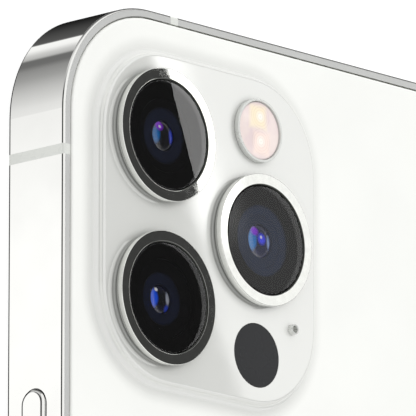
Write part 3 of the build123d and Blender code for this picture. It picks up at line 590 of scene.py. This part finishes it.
FINISHES = {
    "break_plastic": plastic_break_material(),
    "front_glass_clear": front_glass_material(),
    "barrel_black": speckled("moulded_black", srgb(18, 18, 20), cell=0.2, roughness=0.55),
    "sensor_window": sensor,
    "led_board": speckled("led_board", srgb(236, 214, 150), cell=0.3, roughness=0.6),
    "display": speckled("display_back", srgb(16, 17, 20), cell=1.2, roughness=0.3),
    "gasket": speckled("gasket_foam", srgb(38, 38, 38), cell=0.15, roughness=0.85),
    "dark_mesh": woven("steel_mesh", srgb(95, 96, 98), 0.14, 0.03, Metallic=0.8),
    "stamped_steel": speckled("stamped_steel", srgb(176, 177, 178), cell=0.8, roughness=0.34,
                              Metallic=1.0),
    "plate_aluminium": speckled("milled_aluminium", srgb(150, 152, 156), cell=0.5, roughness=0.42,
                                Metallic=1.0),
    "board": speckled("board_mask", srgb(22, 34, 40), change=0.25, cell=0.9, roughness=0.4),
    "battery_wrap": speckled("battery_wrap", srgb(30, 31, 34), cell=2.5, roughness=0.42),
    "copper": woven("wound_copper", srgb(196, 120, 78), 0.5, 0.03, Metallic=1.0),
    "magnet": speckled("plated_magnet", srgb(128, 130, 134), cell=0.4, roughness=0.3, Metallic=1.0),
    "gold_contact": speckled("gold_contact", srgb(232, 190, 110), cell=0.2, roughness=0.25,
                             Metallic=1.0),
    "black_plastic": speckled("black_plastic", srgb(28, 28, 30), cell=0.12, roughness=0.5),
}
finishes = {slot: shade.material for slot, shade in FINISHES.items()}
finishes["polished_steel"] = polished_steel_material()
finishes["rear_glass_white"] = rear_glass_material()

for node in nodes.values():
    if node.hide_render:
        continue
    for index, material in enumerate(node.data.materials):
        slot = material.name.split(".")[0]
        node.data.materials[index] = finishes[slot]

# ---------------------------------------------------------------------------- stage

def sheet(name, corners, material):
    """A flat stage piece with those corners."""
    mesh = bpy.data.meshes.new(name)
    mesh.from_pydata([Vector(c) for c in corners], [], [tuple(range(len(corners)))])
    mesh.materials.append(material)
    piece = bpy.data.objects.new(name, mesh)
    bpy.context.collection.objects.link(piece)
    return piece


pale = Shade("pale_floor", Roughness=0.9, Base_Color=(0.25, 0.25, 0.25))
pale.set("Emission Color", (1.0, 1.0, 1.0))
pale.set("Emission Strength", 0.86)
# Clear from below, so that the phone's front can be looked at.
behind = pale.add("ShaderNodeNewGeometry").outputs["Backfacing"]
clear = pale.add("ShaderNodeBsdfTransparent").outputs[0]
upward = pale.shader.outputs[0]
one_way = pale.add("ShaderNodeMixShader", {0: behind, 1: upward, 2: clear}).outputs[0]
pale.feed(pale.tree.nodes["Material Output"].inputs["Surface"], one_way)
SPAN = 40.0
FLOOR_Z = -0.2 * MM
around = [(-SPAN, -SPAN), (SPAN, -SPAN), (SPAN, SPAN), (-SPAN, SPAN)]
floor = sheet("floor", [(x, y, FLOOR_Z) for x, y in around], pale.material)
floor.visible_glossy = False


def make_card():
    """A pale sheet high to the right that only shiny faces mirror: the diagonal gleam on the glass."""
    height = 150.0
    edge = [
        (114.0, 145.0), (125.0, 118.8), (129.9, 106.0), (132.2, 101.0), (134.5, 91.5), (138.8, 83.6),
        (148.0, 65.0),
    ]
    far = [(205.0, 65.0), (205.0, 145.0)]
    glow = Shade("card_glow", Base_Color=(0.0, 0.0, 0.0), Emission_Color=(1.0, 1.0, 0.99))
    slant = glow.math("ADD", glow.x, glow.math("MULTIPLY", glow.y, 0.45))
    by_edge = glow.fade(slant, 0.1880, 0.1800)
    by_telephoto = glow.fade(glow.y, 0.098, 0.106)
    brighter = glow.math("MULTIPLY", by_edge, by_telephoto)
    glow.set("Emission Strength", glow.fade(brighter, 0.0, 1.0, 1.02, 2.4))
    card = sheet("card", [(x * MM, y * MM, height * MM) for x, y in edge + far], glow.material)
    card.visible_camera = False
    card.visible_diffuse = False
    card.visible_transmission = False
    card.visible_shadow = False


LENS_MIRRORS = (0.709, 0.234, 0.665)      # where upward faces mirror, seen from the camera
KEY_FROM = (0.62, 0.50, 0.60)
# Light levels by compass direction in degrees. Upright faces mirror the low ring from the
# camera's height, and the level ring from lower viewpoints.
LOW_RING = [
    (-180, 1.1), (-100, 1.1), (-20, 0.5), (14, 0.3), (18, 0.01), (40, 0.015), (52, 0.035),
    (64, 0.065), (76, 0.095), (78.5, 0.12), (80, 1.05), (87, 1.0), (94, 0.66), (99, 0.52),
    (101.5, 0.16), (108, 0.17), (114, 0.29), (124, 0.38), (136, 0.57), (148, 0.74), (160.8, 0.95),
    (161.1, 1.12), (180, 1.1),
]
LEVEL_RING = [
    (-180, 0.70), (-150, 0.85), (-128, 0.35), (-112, 0.40), (-95, 0.95), (-60, 0.90), (-38, 0.75),
    (-20, 0.32), (-8, 0.40), (8, 0.95), (50, 0.85), (78, 0.70), (92, 0.30), (104, 0.40),
    (122, 0.80), (146, 0.30), (152, 0.06), (172, 0.06), (180, 0.60),
]


def make_world():
    """A white studio, dark where the flat lens faces mirror it, and graded below the horizon."""
    world = bpy.data.worlds.new("studio")
    bpy.context.scene.world = world
    world.use_nodes = True
    world.node_tree.nodes.clear()
    sky = Graph(world.node_tree)
    way = sky.add("ShaderNodeTexCoord").outputs["Generated"]
    x, y, z = sky.add("ShaderNodeSeparateXYZ", {0: way}).outputs

    def towards(direction):
        """Cosine of the angle from that direction."""
        inputs = {0: way, 1: Vector(direction).normalized()}
        return sky.add("ShaderNodeVectorMath", inputs, operation="DOT_PRODUCT").outputs["Value"]

    def ring(levels):
        stops = [((angle + 180) / 360, (level, level, level)) for angle, level in levels]
        return sky.ramp(compass, *stops)

    degrees = sky.math("MULTIPLY", sky.math("ARCTAN2", y, x), 180 / math.pi)
    compass = sky.math("DIVIDE", sky.math("ADD", degrees, 180.0), 360.0)
    wide, narrow = math.cos(math.radians(34)), math.cos(math.radians(22))
    dark_cap = sky.fade(towards(LENS_MIRRORS), wide, narrow, 1.0, 0.05)
    level = sky.blend(sky.fade(z, 0.22, 0.30), ring(LEVEL_RING), 1.0)
    level = sky.blend(sky.fade(z, -0.62, -0.655), level, ring(LOW_RING))
    level = sky.math("MULTIPLY", level, sky.fade(z, -0.71, -0.76, 1.0, 0.03))
    level = sky.math("MULTIPLY", dark_cap, level)
    # Matte surfaces see a broad soft light from the upper right, so raised pieces shade their left.
    soft = sky.fade(towards(KEY_FROM), 0.0, 0.95, 0.66, 1.45)
    path = sky.add("ShaderNodeLightPath").outputs
    level = sky.blend(path["Is Diffuse Ray"], level, soft)
    level = sky.blend(path["Is Camera Ray"], level, 1.0)
    surface = sky.add("ShaderNodeBackground", {"Color": (1, 1, 1, 1), "Strength": level})
    sky.add("ShaderNodeOutputWorld", {"Surface": surface.outputs[0]})


make_card()
make_world()


def camera_view():
    """The camera: straight lens, no shift, turned to look across the top left corner."""
    data = bpy.data.cameras.new("camera")
    data.sensor_width = 36.0
    data.lens = 752.96
    data.clip_start = 0.01
    data.clip_end = 60.0
    right = Vector((0.68404, 0.0, 0.72945))
    up = Vector((-0.17041, 0.97233, 0.15980))
    back = Vector((-0.70927, -0.23361, 0.66511))
    turn = Matrix((right, up, back)).transposed()
    eye = bpy.data.objects.new("camera", data)
    bpy.context.collection.objects.link(eye)
    eye.rotation_mode = "QUATERNION"
    eye.rotation_quaternion = turn.to_quaternion()
    eye.location = Vector((-590.68, -133.32, 545.71)) * MM
    bpy.context.scene.camera = eye


camera_view()
bpy.context.scene.view_settings.view_transform = "Standard"
